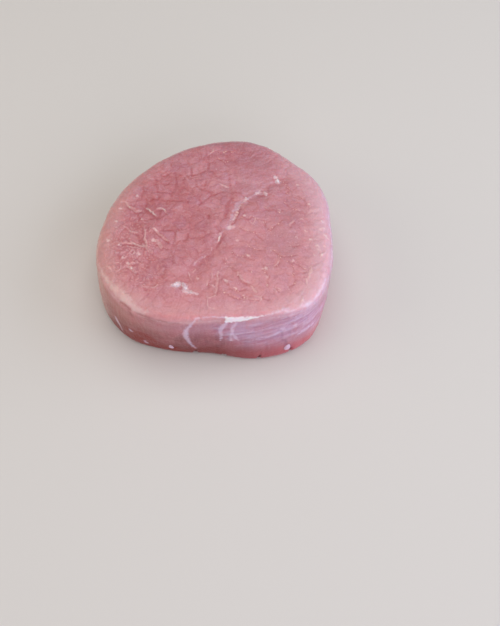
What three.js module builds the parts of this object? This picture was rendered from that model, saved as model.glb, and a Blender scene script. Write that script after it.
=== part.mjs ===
// A raw veal fillet: one thick round slice cut straight across the muscle, lying on its lower cut face.
// The slice is a single piece of meat, so it is a single solid: a wall of muscle wrapped in its own skin,
// a rolled rim, a gently crowned upper cut face with the seam between two muscles across it, and a flat foot.
// Millimetres, +Z up. The origin is the middle of the flat face that the slice rests on, -Y is its front.
import * as THREE from "three";

// Driving dimensions.
const WIDTH = 94; // along X, over the widest part of the slice
const DEPTH = 92.4; // along Y
const THICKNESS = 30; // foot to the crown of the upper cut face
const CROWN = 1.1; // how far the middle of the upper cut face stands above its rim
const FOOT_ROUND = 2; // radius of the edge above the flat foot
const WALL_BULGE = 0.6; // how far the wall swells out at half its height

// The slice isn't round. Each list goes round it anticlockwise in 16 equal steps, from the right-hand side (+X)
// through the back (+Y), the left and the front (-Y).
const RIM_RADIUS = [46.5, 48, 46.5, 47.5, 45, 42.5, 41.5, 42.5, 44.5, 48, 49.5, 47.5, 43.5, 46, 52.5, 49.5];
const RIM_ROUND = [5, 5, 5, 5.5, 6, 6, 6, 6, 6, 5.5, 4.5, 2.8, 1.6, 1.6, 3, 4.5];
const FOOT_LEAN = [-0.5, 0, 0, 0, 0, 0, 0, 0, 1, 2, 1, -1.5, 0.5, 4, 1, -1];

// The seam between the two muscles: a shallow valley in the upper cut face, from its back right to its front left.
const SEAM_ROUTE = [
  [27, 22],
  [19.5, 14],
  [10, 8],
  [7, -2],
  [1.5, -11.5],
  [-8, -25],
];
const SEAM_DEPTH = 0.7;
const SEAM_HALF_WIDTH = 3;

// The soft uneven swell of the two cut muscles on either side of it.
const SWELL_HEIGHT = 0.35;
const SWELL_LENGTHS = [41, 29]; // from crest to crest, along X and along Y

// How finely the surface is divided: round the slice, and down it from the crown to the foot.
const STEPS_ROUND = 96;
const STEPS_FACE = 15;
const STEPS_RIM = 6;
const STEPS_WALL = 5;
const STEPS_FOOT = 4;

const FULL_TURN = 2 * Math.PI;

// A smooth run through the values of one of the lists above, read at any angle.
function around(values, angle) {
  const place = (angle / FULL_TURN) * values.length;
  const step = Math.floor(place);
  const share = place - step;
  const [a, b, c, d] = [-1, 0, 1, 2].map((k) => values[(step + k + values.length) % values.length]);
  return b + 0.5 * share * (c - a + share * (2 * a - 5 * b + 4 * c - d + share * (3 * (b - c) + d - a)));
}

const smooth = (share) => THREE.MathUtils.smoothstep(share, 0, 1);

// The seam's centre line, as points close together.
const seamLine = new THREE.CatmullRomCurve3(SEAM_ROUTE.map(([x, y]) => new THREE.Vector3(x, y, 0))).getSpacedPoints(80);

// How far a point of the upper cut face lies above or below the plain crown.
function relief(x, y) {
  const swell =
    Math.sin((FULL_TURN * (x + 0.4 * y)) / SWELL_LENGTHS[0]) * Math.cos((FULL_TURN * (y - 0.3 * x)) / SWELL_LENGTHS[1]);
  const aside = Math.min(...seamLine.map((point) => Math.hypot(point.x - x, point.y - y)));
  return SWELL_HEIGHT * swell - SEAM_DEPTH * Math.exp(-((aside / SEAM_HALF_WIDTH) ** 2));
}

// The points down one side of the slice, from beside the crown to the edge of the flat foot.
function sideAt(angle) {
  const rim = around(RIM_RADIUS, angle);
  const round = around(RIM_ROUND, angle);
  const lean = around(FOOT_LEAN, angle);
  const shoulder = THICKNESS - CROWN; // height at which the rolled rim meets the cut face
  const wallTop = shoulder - round;
  const points = [];
  const add = (radius, z) => points.push([radius * Math.cos(angle), radius * Math.sin(angle), z]);
  const leanAt = (z) => lean * (1 - z / wallTop);

  for (let i = 1; i <= STEPS_FACE; i++) {
    const share = i / STEPS_FACE;
    const radius = share * (rim - round);
    const fade = 1 - smooth((share - 0.8) / 0.2);
    const [x, y] = [radius * Math.cos(angle), radius * Math.sin(angle)];
    add(radius, shoulder + CROWN * (1 - share ** 2) + fade * relief(x, y));
  }
  for (let i = 1; i <= STEPS_RIM; i++) {
    const turn = ((i / STEPS_RIM) * Math.PI) / 2;
    add(rim - round * (1 - Math.sin(turn)), wallTop + round * Math.cos(turn));
  }
  for (let i = 1; i <= STEPS_WALL; i++) {
    const share = i / STEPS_WALL;
    const z = wallTop + share * (FOOT_ROUND - wallTop);
    add(rim + leanAt(z) + WALL_BULGE * Math.sin(share * Math.PI), z);
  }
  for (let i = 1; i <= STEPS_FOOT; i++) {
    const turn = ((i / STEPS_FOOT) * Math.PI) / 2;
    const z = FOOT_ROUND * (1 - Math.sin(turn));
    add(rim + leanAt(z) - FOOT_ROUND * (1 - Math.cos(turn)), z);
  }
  return points;
}

// The closed skin of the slice: the sides at every angle, joined to each other, to the crown and to the foot's middle.
function sliceGeometry() {
  const sides = Array.from({ length: STEPS_ROUND }, (_, k) => sideAt((k / STEPS_ROUND) * FULL_TURN));
  const rings = sides[0].length;
  const crown = STEPS_ROUND * rings;
  const foot = crown + 1;
  const positions = [...sides.flat(), [0, 0, THICKNESS + relief(0, 0)], [0, 0, 0]].flat();
  const faces = [];
  for (let k = 0; k < STEPS_ROUND; k++) {
    const here = k * rings;
    const next = ((k + 1) % STEPS_ROUND) * rings;
    faces.push(crown, here, next);
    for (let r = 0; r < rings - 1; r++) {
      faces.push(here + r, here + r + 1, next + r + 1);
      faces.push(here + r, next + r + 1, next + r);
    }
    faces.push(foot, next + rings - 1, here + rings - 1);
  }
  const geometry = new THREE.BufferGeometry();
  geometry.setAttribute("position", new THREE.Float32BufferAttribute(positions, 3));
  geometry.setIndex(faces);
  return geometry;
}

// Brings the slice to its stated width and depth, and its middle over the origin.
function fitToSize(geometry) {
  geometry.computeBoundingBox();
  const { min, max } = geometry.boundingBox;
  geometry.translate(-(min.x + max.x) / 2, -(min.y + max.y) / 2, 0);
  geometry.scale(WIDTH / (max.x - min.x), DEPTH / (max.y - min.y), 1);
  geometry.computeVertexNormals();
  return geometry;
}

// Raw veal: pale pink muscle, moist on the cut.
const vealMuscle = new THREE.MeshStandardMaterial({ color: 0xc97f86, roughness: 0.38, metalness: 0 });

const slice = new THREE.Mesh(fitToSize(sliceGeometry()), vealMuscle);
slice.name = "veal_fillet";

const vealFillet = new THREE.Group();
vealFillet.add(slice);

export default vealFillet;
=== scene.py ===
import math

import bpy
import numpy as np
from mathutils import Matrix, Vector, noise
from mathutils.bvhtree import BVHTree


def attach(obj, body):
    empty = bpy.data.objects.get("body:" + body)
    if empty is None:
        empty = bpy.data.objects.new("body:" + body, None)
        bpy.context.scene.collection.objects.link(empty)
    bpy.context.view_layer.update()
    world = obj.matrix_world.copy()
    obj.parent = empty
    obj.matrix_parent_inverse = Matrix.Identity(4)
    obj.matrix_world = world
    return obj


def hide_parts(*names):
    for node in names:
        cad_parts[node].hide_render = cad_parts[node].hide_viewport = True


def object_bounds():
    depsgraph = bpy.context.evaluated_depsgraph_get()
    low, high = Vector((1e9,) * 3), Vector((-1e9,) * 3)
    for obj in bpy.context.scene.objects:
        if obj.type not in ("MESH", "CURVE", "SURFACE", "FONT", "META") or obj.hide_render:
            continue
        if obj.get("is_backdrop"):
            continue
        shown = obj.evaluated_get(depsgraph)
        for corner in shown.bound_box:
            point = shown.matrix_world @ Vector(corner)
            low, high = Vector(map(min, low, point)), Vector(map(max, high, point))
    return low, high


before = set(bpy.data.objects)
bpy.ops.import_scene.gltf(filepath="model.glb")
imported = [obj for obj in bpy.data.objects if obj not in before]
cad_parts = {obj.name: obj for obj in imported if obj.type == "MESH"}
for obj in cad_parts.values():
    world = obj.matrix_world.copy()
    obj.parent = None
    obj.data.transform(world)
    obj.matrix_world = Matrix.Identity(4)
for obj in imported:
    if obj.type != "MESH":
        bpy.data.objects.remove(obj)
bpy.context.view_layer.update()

# ------------------------------------------------------------------ The slice
# One thick slice, cut straight across the fillet: a single piece of pale pink muscle. Its fibres are seen end
# on in the upper cut face, and from the side in the wall, which still has its own thin skin. It lies on its
# lower cut face, held by nothing but its weight.

MM = 0.001
HAIR = 0.001 * MM  # too little to see
GRID = 0.44  # mm between the finished surface's points
FOOT_FLAT = 0.25  # mm, the height below which the underside is pressed flat


def pick_only(piece):
    """Nothing but this piece is selected, and it is the one that operators act on."""
    bpy.ops.object.select_all(action="DESELECT")
    piece.select_set(True)
    bpy.context.view_layer.objects.active = piece


def modify(piece, kind, **settings):
    """Puts a modifier on a piece and applies it."""
    pick_only(piece)
    modifier = piece.modifiers.new(kind.title(), kind)
    for name, value in settings.items():
        setattr(modifier, name, value)
    bpy.ops.object.modifier_apply(modifier=modifier.name)


slice_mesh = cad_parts["veal_fillet"].data.copy()
veal = bpy.data.objects.new("veal_slice", slice_mesh)
bpy.context.collection.objects.link(veal)
pick_only(veal)
bpy.ops.object.mode_set(mode="EDIT")
bpy.ops.mesh.select_all(action="SELECT")
bpy.ops.mesh.remove_doubles(threshold=HAIR)
bpy.ops.object.mode_set(mode="OBJECT")
modify(veal, "SUBSURF", levels=2, render_levels=2)
modify(veal, "REMESH", mode="VOXEL", voxel_size=GRID * MM)
modify(veal, "SMOOTH", factor=0.5, iterations=10)

# The underside is one flat face, pressed against what the slice lies on.
pick_only(veal)
bpy.ops.object.mode_set(mode="EDIT")
bpy.ops.mesh.select_all(action="SELECT")
foot_plane = {"plane_co": (0, 0, FOOT_FLAT * MM), "plane_no": (0, 0, 1)}
bpy.ops.mesh.bisect(**foot_plane, use_fill=True, clear_inner=True, threshold=HAIR)
bpy.ops.object.mode_set(mode="OBJECT")
for vertex in veal.data.vertices:
    if vertex.co.z < FOOT_FLAT * MM + HAIR:
        vertex.co.z = 0

# The lines that the eye picks out on the slice. Each route is a few points in mm, joined by a smooth curve.
# On the upper cut face a point is (x, y), and on the wall it is (degrees round the slice, height). A third
# number, where there is one, is half the width there.
ABOVE = 60  # mm over the foot, clear of the slice
ASIDE = 80  # mm from its middle, clear of it too
noise.seed_set(7)  # every run strays alike


def flowing(route, step=0.25, stray=0.3):
    """A route's points joined by a curve that strays a little, as tissue does. Its width flows along."""
    knots = [np.array(knot, float) for knot in route]
    knots = [2 * knots[0] - knots[1], *knots, 2 * knots[-1] - knots[-2]]
    points = []
    for a, b, c, d in zip(knots, knots[1:], knots[2:], knots[3:]):
        for t in np.arange(0, 1, step / max(np.linalg.norm((c - b)[:2]), step)):
            bend = 2 * a - 5 * b + 4 * c - d + t * (3 * (b - c) + d - a)
            points.append(b + 0.5 * t * (c - a + t * bend))
    points.append(knots[-2])
    for point in points:
        point[:2] += stray * np.array(noise.noise_vector((0.7 * point[0], 0.7 * point[1], 5)))[:2]
    return points


skin = BVHTree.FromObject(veal, bpy.context.evaluated_depsgraph_get())


def on_face(route, stray=0.3):
    """A route laid on the upper cut face, as rows of x, y, z and half the width, all in mm."""
    rows = []
    for x, y, *half in flowing(route, stray=stray):
        hit = skin.ray_cast(Vector((x, y, ABOVE)) * MM, Vector((0, 0, -1)))[0]
        rows.append([*(hit / MM), *(half or [0])])
    return np.array(rows)


def on_wall(route):
    """A route laid on the wall, as rows of x, y, z and half the width, all in mm."""
    rows = []
    for degrees, height, *half in flowing(route):
        out = Vector((math.cos(math.radians(degrees)), math.sin(math.radians(degrees)), 0))
        hit = skin.ray_cast((out * ASIDE + Vector((0, 0, height))) * MM, -out)[0]
        rows.append([*(hit / MM), *(half or [0])])
    return np.array(rows)


places = np.empty(len(veal.data.vertices) * 3)
veal.data.vertices.foreach_get("co", places)
places = places.reshape(-1, 3) / MM
MARKS = []
BATCH = 2000  # points measured at a time, which spares memory


def mark(name, laid, reach=3.0):
    """Writes each point's distance in mm from the edge of the nearest laid route, as far as it reaches."""
    nearest = np.full(len(places), reach)
    for rows in laid:
        points, halves = rows[:, :3], rows[:, 3]
        within = (places > points.min(axis=0) - reach) & (places < points.max(axis=0) + reach)
        near = np.flatnonzero(within.all(axis=1))
        for some in np.array_split(near, len(near) // BATCH + 1):
            gaps = np.linalg.norm(places[some, None] - points, axis=2) - halves
            nearest[some] = np.minimum(nearest[some], gaps.min(axis=1))
    veal.data.attributes.new(name, "FLOAT", "POINT").data.foreach_set("value", nearest)
    MARKS.append(name)


# The darker connective tissue between the bundles of the left-hand muscle.
BUNDLE_BORDERS = [
    [(-28.5, 17), (-28.5, 14.5), (-29, 12)],
    [(-28, 15), (-26, 14.5), (-23, 14), (-18.5, 13.5), (-17, 12.5), (-16.5, 11), (-17, 9.5)],
    [(-24.5, 19), (-23, 17), (-22.5, 14), (-22, 11.5), (-22, 9.5), (-21.5, 8)],
    [(-26.5, 10), (-24, 10.5), (-22, 10), (-19, 9.5), (-16, 9.5), (-12.5, 9), (-10, 9)],
    [(-26.5, 10.5), (-26.5, 8.5), (-27, 6), (-27, 4.5)],
    [(-19, 9.5), (-18.5, 8)],
    [(-24.5, 22.5), (-23.5, 20.5), (-24, 18)],
    [(-21, 23), (-18.5, 24), (-16.5, 24.5), (-15, 24), (-13.5, 23)],
    [(-16, 24), (-15.5, 21.5), (-15.5, 18.5), (-16, 15.5), (-16.5, 13.5)],
    [(-16, 17), (-13, 17), (-12, 16.5), (-10.5, 15)],
    [(-12.5, 21.5), (-12.5, 19), (-12, 16.5)],
    [(-11.5, 23), (-10, 21), (-9, 22.5), (-6.5, 24), (-4, 25)],
    [(-20.5, 18.5), (-19, 18), (-18.5, 18.5)],
    [(-2.5, 34.5), (-3, 31.5), (-2.5, 28), (-3, 25), (-1.5, 25), (-0.5, 24), (0.5, 22.5)],
    [(-9.5, 27), (-9.5, 25), (-9, 22.5)],
    [(-7.5, 20), (-7, 17), (-5.5, 15.5), (-4, 15), (-2, 14.5), (-0.5, 14)],
    [(-4, 15.5), (-3.5, 18.5), (-3, 20.5)],
    [(-0.5, 14), (-1, 12.5), (-2.5, 10.5), (-4.5, 8.5), (-5.5, 7.5), (-6, 4.5)],
    [(-0.5, 12.5), (1, 13.5), (2.5, 14.5), (6, 14), (10, 14)],
    [(6, 21.5), (6.5, 17), (7, 13.5)],
    [(-30, 4), (-29.5, 2), (-27.5, 0), (-23.5, 0.5), (-22, 1.5), (-21, 1.5), (-21, 4.5)],
    [(-33, 8), (-34, 7), (-32.5, 6), (-30.5, 4.5), (-28.5, 5)],
    [(-26, 4.5), (-23.5, 2.5), (-22, 0.5)],
    [(-31, -2), (-30.5, -1), (-29.5, -2.5)],
    [(-24, -6.5), (-22, -6.5), (-20, -7.5), (-18.5, -9.5), (-17, -11)],
    [(-19.5, -4), (-19, -5.5), (-16.5, -5), (-14.5, -5), (-12.5, -4.5)],
    [(-14.5, -5), (-14.5, -8), (-14.5, -10), (-15, -12)],
    [(-12, -11.5), (-11, -10), (-10, -9.5), (-9.5, -7.5), (-10, -6)],
    [(-15.5, -14), (-14, -12), (-12.5, -10.5), (-11, -10)],
    [(-15.5, -14), (-15.5, -15.5), (-14.5, -18), (-14.5, -20.5)],
    [(-20, -11), (-19.5, -13), (-17.5, -14), (-15.5, -14.5)],
    [(-28.5, -7.5), (-28, -9.5), (-27, -12), (-25.5, -11.5)],
    [(-24, -17), (-23.5, -19.5), (-24, -22)],
    [(-5, -8), (-3.5, -8.5)],
    [(-4, -5), (-3, -5.5)],
    [(-2, 2.5), (-1.5, 1)],
]
mark("bundle_border", [on_face(route) for route in BUNDLE_BORDERS])

# The same tissue in the right-hand muscle and across the back: fainter, and with a pale edge beside it, a
# slight ridge that carries a painted highlight.
FAINT_BORDERS = [
    [(10.5, -4), (12, -5), (14, -5.5), (16, -6), (18, -8), (19.5, -9.5)],
    [(11, 1), (12.5, 0.5), (14, 0), (15.5, 1), (17, 0), (20, -0.5)],
    [(20, -0.5), (20, -2.5), (21.5, -4.5), (22.5, -5), (23.5, -3.5), (25, -2.5), (27.5, 0)],
    [(13.5, -11.5), (15, -13), (16.5, -14), (18, -14.5)],
    [(7.5, -15.5), (8.5, -16.5), (10, -17)],
    [(11.5, -17), (14, -18.5), (16, -19)],
    [(4, -18.5), (5.5, -20.5), (7, -21.5), (8, -23.5),
     (9.5, -24.5), (10, -26.5), (11, -28.5), (12.5, -29.5)],
    [(12.5, -29.5), (14.5, -30), (16, -32), (17, -33)],
    [(-0.5, -27.5), (-1, -29.5), (-1, -30.5)],
    [(7, -31.5), (9, -32), (10.5, -32.5), (12, -32), (13, -31.5)],
    [(4.5, -33), (6.5, -34.5), (8.5, -35.5), (10.5, -36), (12, -35), (14, -36), (17.5, -36.5)],
    [(18.5, -35), (20, -36), (21.5, -36)],
    [(20, 6.5), (21.5, 5), (24, 5), (25.5, 3.5), (27, 5)],
    [(28, 20), (29.5, 17.5), (30, 15.5), (29, 13.5)],
    [(33.5, 12.5), (35.5, 11), (36.5, 8.5), (38, 7)],
    [(28, 9), (29.5, 7.5), (31, 6), (33.5, 5)],
    [(19, -21.5), (19.5, -23.5), (21, -26), (21, -28.5), (20.5, -30.5)],
    [(22.5, -14), (24, -15), (26, -17), (28.5, -17), (32, -16.5)],
    [(26, -17.5), (25.5, -19.5), (24.5, -21.5), (23.5, -22.5)],
    [(28.5, -19.5), (30, -20), (32, -20.5), (33.5, -21.5), (35.5, -23), (36.5, -22)],
    [(30, -19.5), (30.5, -22.5), (30.5, -25.5), (31, -28), (30, -30), (28.5, -30.5)],
    [(34.5, -24.5), (36, -23.5), (38, -21), (40, -20)],
    [(29.5, -12), (31.5, -12.5), (33, -12)],
    [(24, -31.5), (25, -33)],
    [(14, -24), (15, -24.5)],
    [(-1, 37), (2, 36), (5.5, 36.5), (9.5, 35.5), (12, 36)],
    [(1.5, 32), (4, 30.5), (6.5, 31)],
]
faint = [on_face(route) for route in FAINT_BORDERS]
mark("faint_border", faint)
mark("lit_border", [rows + (-0.2, 0.5, 0, -0.15) for rows in faint])

# The seam between the two muscles: a crease, painted dark as shade in its groove, and beside it the pale
# sheet of tissue that wraps the right-hand muscle, which stands a little proud.
CREASE = [
    [(7.5, 11.5, -0.3), (6, 9, 0), (5.5, 7, 0.3), (5.5, 5, 0.3), (5, 3, 0.2), (4, 0.5, 0), (2, 1, -0.3)],
    [(1.5, -3.5), (2.5, -5), (3.5, -6), (4, -7.5), (3, -9.5), (1.5, -13)],
    [(10, 7.5), (10.5, 5.5), (9.5, 3.5), (9, 1.5), (8, -0.5), (7.5, -2)],
    [(-1.5, -17), (-3, -18), (-3.5, -19), (-5, -21)],
    [(22.5, 18.5, -0.3), (21.8, 16.5, -0.2), (22, 14.5, -0.3)],
    [(17.5, 12.8, -0.2), (19, 12.6, 0), (21, 12.8, -0.2)],
    [(-11.4, -30.8, 0.2), (-10.7, -31.6, 0.3), (-10.3, -32.3, 0.1)],
]
SHEET = [
    [(25.5, 21, -0.2), (23.5, 20, 0), (22, 18.5, 0), (19, 16.5, 0.1),
     (17.5, 15, 0.1), (16, 13, 0), (13, 11, 0.2)],
    [(13, 11, 0.3), (11, 9.5, 0.6), (9.3, 7.5, 0.8), (8.6, 4.5, 0.8),
     (7.6, 1, 0.7), (6.7, -1, 0.7), (6, -2.5, 0.3)],
    [(5.4, -4.2, 0.5), (6.7, -3.4, 0.9), (7.9, -3.1, 0.6)],
    [(4.5, -5, 0), (3, -6.5, 0.2), (2, -10.5, -0.1)],
    [(-0.2, -13, -0.2), (-0.4, -14.8, -0.1), (-2.6, -17, -0.1), (-5.6, -19, -0.1), (-6.3, -21, -0.2)],
]
mark("crease", [on_face(route) for route in CREASE])
mark("sheet", [on_face(route) for route in SHEET])

# Pale threads of the same tissue. The proud ones stand up from the cut face and are made further down. The
# faint ones lie just under it. The small spots are slight wet bumps, each with a painted glint.
PROUD_THREADS = [
    [(-37, 10, 0.1), (-35, 9.5, 0.2), (-33.3, 7.2, 0.3),
     (-31.9, 6, 0.42), (-30.2, 5, 0.4), (-28.7, 5.3, 0.2)],
    [(-26.5, 6.5, 0.2), (-25, 5, 0.32), (-23.5, 3.7, 0.3), (-22.5, 2, 0.15)],
    [(-22.5, 6, 0.15), (-20.5, 6, 0.25), (-19.5, 5, 0.22), (-18.5, 4, 0.15)],
    [(-34.5, -3, 0.12), (-33, -4, 0.2), (-31.5, -5.5, 0.25), (-29.5, -6, 0.2)],
    [(-37.4, -10.1, 0.1), (-34.6, -10.8, 0.15), (-31.5, -11, 0.2),
     (-29.5, -11.5, 0.28), (-27.6, -12.5, 0.2)],
    [(-27.6, -12.5, 0.3), (-25.6, -12.5, 0.42), (-24, -14.3, 0.42), (-23.2, -15.8, 0.25)],
    [(-22.5, -4.5, 0.3), (-21.5, -6, 0.3), (-20.5, -7, 0.18), (-19, -8.5, 0.25), (-17, -10.5, 0.18)],
    [(-21.2, -10.2, 0.42), (-20.2, -11.8, 0.55), (-19.3, -13.2, 0.4)],
    [(-31.4, -21.3, 0.4), (-30.2, -22.2, 0.55), (-28.2, -24, 0.35)],
    [(2.3, -24, 0.12), (2.3, -27.5, 0.18), (2.2, -30.5, 0.22), (1.9, -33.2, 0.2)],
    [(10, -24.5, 0.2), (10.5, -26, 0.25), (11.5, -27.5, 0.22), (12.5, -28.5, 0.15), (14.5, -29, 0.12)],
    [(5, -27.5, 0.2), (6, -29, 0.25)],
    [(3, -6.5, 0.3), (2.5, -8.5, 0.28), (2, -10.5, 0.15)],
    [(9.5, 4.5, 0.15), (9.1, 2.5, 0.28), (8.4, 0.8, 0.12), (7.4, -1, 0.25), (6.7, -2.4, 0.15)],
    [(31.5, -0.5, 0.2), (30.5, -1.5, 0.25), (30, -3, 0.15)],
    [(38.6, 5.1, 0.4), (39.9, 5.2, 0.6), (41.3, 5.8, 0.4)],
]
FAINT_THREADS = [
    [(-36, 5), (-35, 3.5), (-34, 2.5)],
    [(-36.5, -1.5), (-34.5, -3)],
    [(-26.8, -3.8, 0), (-26, -5.5, 0.1), (-26, -8, 0.15), (-25.5, -10, 0.2), (-25, -12.5, 0.1)],
    [(-33, -11), (-30.5, -11.5)],
    [(-30, -19.5), (-29, -20)],
    [(-26.5, -29.5), (-25, -30.5), (-23.5, -31)],
    [(-22, -31), (-20.5, -30.5), (-19.5, -29.5)],
    [(-8.5, -24), (-8, -26), (-7.5, -27.5)],
    [(-7, -24), (-6, -22.5)],
    [(1.9, -33), (1.5, -34.5), (-0.5, -35.5), (-1.5, -35)],
    [(-1, -35.5), (-1, -38.5), (0, -39.5), (1.5, -40)],
    [(0, -24.5), (0.5, -26.5)],
    [(-1.5, -27), (-1.5, -30)],
    [(5, -18), (6, -19.5)],
    [(13, -16.5), (14, -17.5)],
    [(15, -30.5), (16, -31.5), (17, -33)],
    [(13.5, -35.5), (15, -36), (18, -36)],
    [(-0.4, -13), (-0.2, -14.5)],
    [(-2.5, -16.8), (-2.9, -17.6)],
    [(-5.5, -19), (-6, -20)],
    [(23.5, -21.5), (25, -20), (25.5, -18.5)],
    [(37.2, -21.7, 0), (37.5, -23.5, 0.3), (36.7, -25.3, 0)],
    [(35.9, -26.2, 0), (35.3, -27.6, 0.3), (35.4, -29.3, 0)],
    [(33.7, -34.5, 0), (33.3, -36.1, 0.2), (32.9, -38.1, 0)],
    [(13.2, -11.5), (15.1, -13.3)],
    [(12.8, -16.2, 0), (14.3, -17.2, 0.1)],
    [(14.6, -30, 0.1), (15.6, -31.6, 0.2), (16.6, -33, 0.1)],
    [(13.5, -34, -0.1), (17.4, -34.8, 0), (18.7, -35.8, 0.1), (18.2, -36.6, 0)],
    [(22.8, -31.5), (24.3, -32.8)],
    [(-36.5, -19.9), (-35, -19.5), (-34.1, -21.3), (-34.6, -23.5), (-36.2, -23), (-36.7, -21.2)],
    [(-31.4, -14.9), (-30.4, -13.7), (-29.4, -14.9), (-30.4, -16.1), (-31.4, -15.2)],
    [(-39.8, -20.9, 0), (-38.6, -21.6, 0.2), (-37.3, -23, 0)],
    [(-32.2, -12.3), (-29.8, -12.9), (-27.5, -13.4)],
    [(14, -1), (15.5, -2), (16.5, 0)],
    [(-13.9, 24.4, -0.2), (-11, 23.1, -0.1), (-8.4, 21.5, 0), (-4.5, 21.1, -0.1)],
    [(-1.5, 19.5, -0.2), (1.5, 18.8, -0.1), (3.4, 17.7, 0.2),
     (4.7, 17.1, 0.2), (5.9, 16.5, -0.1), (7.3, 14.2, -0.2)],
    [(4.3, 22.7, -0.1), (6.7, 25.3, -0.2)],
    [(-2.8, 34.4, 0), (-0.8, 36.6, 0.1)],
    [(-2.2, 33.6, 0), (-1.2, 32.4, -0.1), (0.2, 31.4, 0)],
    [(37.4, -22.6, 0.1), (37, -23.8, 0.3), (36.4, -25, 0.2)],
    [(36.6, -25.5, 0.2), (35.6, -27.4, 0.3)],
    [(43, -14.5, 0.1), (41.6, -16.1, 0.4)],
    [(42, 0), (43, 1)],
    [(42, -15.5), (41, -17)],
    [(40.5, -11), (40, -12)],
]
GLINT_SPOTS = [
    (-30.8, 12.5, 0.3), (-37.1, 6.6, 0.2), (-38.4, 0.1, 0.4), (-28, 0.7, 0.1), (-40.6, -9, 0.4),
    (-35.7, -11.6, 0.2), (-22.8, -9.8, 0.5), (-22.2, -4.8, 0.3), (-19.5, -2.5, 0.1), (-28.1, -15.6, 0.4),
    (-33.7, -17.2, 0.3), (-31.9, -20, 0.3), (-29.7, -19.5, 0.2), (-37.7, -2.9, 0.1), (-34.9, -7.9, 0.1),
    (-5.5, -26.5, 0.3), (0.5, -30, 0.2), (8.5, -31, 0.1), (12, -37, 0.1), (9.4, -9.7, 0.3),
    (37.5, 8.5, 0.1), (34, 17, 0.1), (32, -8.2, 0.2), (41.3, -15.7, 0.4), (41.5, -3.8, 0.3),
    (44.1, -7.7, 0.3), (30.5, -18.7, 0.1), (20.2, -22.4, 0.3), (20.3, -26.3, 0.3), (18.9, -22.8, 0.1),
    (22, -14, 0), (35.8, -5.2, 0.2), (37.6, -8.8, 0.3), (40, -11.8, 0.3), (42.6, -11.7, 0.4),
    (38.6, -15.9, 0.1), (40.4, -13.3, 0.3), (43.3, -6.5, 0.3), (24.8, -31.2, 0.1), (13.5, -17, 0.2),
    (11.9, -34.5, 0.1), (11.9, -36.8, 0.1), (5.3, -28.1, 0.2), (33.5, -36.2, 0.2), (34.3, 0.8, 0.2),
    (42.4, 0.1, 0.3), (42.7, -3.1, 0.3), (12.2, 1.9, 0.2), (33.4, 18.5, 0.1), (34.2, 16.7, 0.1),
    (12.1, 9.9, 0.2), (11.1, 8.6, 0.1), (10.3, 7.4, 0.2), (9.7, 6.2, 0.1), (9.4, 5, 0.2), (9, 3.8, 0.1),
    (8.6, 2.5, 0.3), (8.3, 1.1, 0.1), (7.7, -0.1, 0.2), (6.2, -3.6, 0.5), (7.1, -3.2, 0.4),
]
glint_spots = [on_face([(x, y, half - 0.15), (x + 0.6, y - 0.4, half - 0.25)]) for x, y, half in GLINT_SPOTS]
proud = [on_face(route, stray=0.5) for route in PROUD_THREADS]
mark("thread", [on_face(route) for route in FAINT_THREADS])
mark("glint_spot", glint_spots)
mark("fold", proud)
# Just in front of each proud thread the face dips, with a painted shadow there.
mark("dip_and_shadow_below_fold", [rows + (0.3, -0.9, 0, 0) for rows in proud])

# Torn white fat, near the front of the cut face and along the seam. Its lumps are made further down.
TORN_FAT = [
    [(-14.6, -30, 0.1), (-13.5, -30.2, 0.6), (-12.6, -29.9, 0.9), (-11.9, -30, 0.6)],
    [(-10.3, -29.3, 0.3), (-9.8, -30.3, 0.5), (-9.3, -31.3, 0.6), (-9.1, -32.1, 0.3)],
    [(-10.1, -32.2, 0.1), (-9, -32.8, 0.3), (-7.4, -33.1, 0.4), (-6, -33.3, 0.2), (-4.8, -33.4, 0.1)],
    [(25.6, 20.9, 0.5), (25.7, 19.8, 0.6)],
    [(24.4, 22.3, 0.3), (25.1, 22.2, 0.4)],
    [(17, 13.8, 0), (18.2, 14.5, 0.2)],
    [(20, 14.4, 0.2), (20.6, 13.6, 0.3)],
    [(12.7, 11.5, 0.3), (12.9, 11, 0.4)],
]
mark("torn_fat", [on_face(route) for route in TORN_FAT])

# Broad parts of the cut face: where the fibres have drawn back into grains, where the flesh is deepest in
# colour, and where it is dusky.
GRAINY = [
    [(-31, -5, 5), (-31, -11, 8), (-30, -18, 9), (-26, -25, 6)],
]
DEEP = [
    [(-17, 22, 2), (-19, 10, 7), (-14, -2, 9), (-11, -14, 8)],
    [(-10, 36, 1), (2, 36, 3), (12, 34, 2)],
    [(-15, -21, -1), (-9, -23, -1)],
    [(4, -37, -6), (16, -35, -5.5)],
]
DUSKY = [
    [(2, 43, 2), (10, 41, 2), (15, 36, 2), (16, 26, 4), (17, 17, 3)],
    [(28, 6, 1), (28, -12, 3)],
    [(4, 17, -1), (5, 15, -1)],
]
mark("grainy", [on_face(route) for route in GRAINY], reach=10)
mark("deep", [on_face(route) for route in DEEP], reach=12)
mark("dusky", [on_face(route) for route in DUSKY], reach=7)

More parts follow.
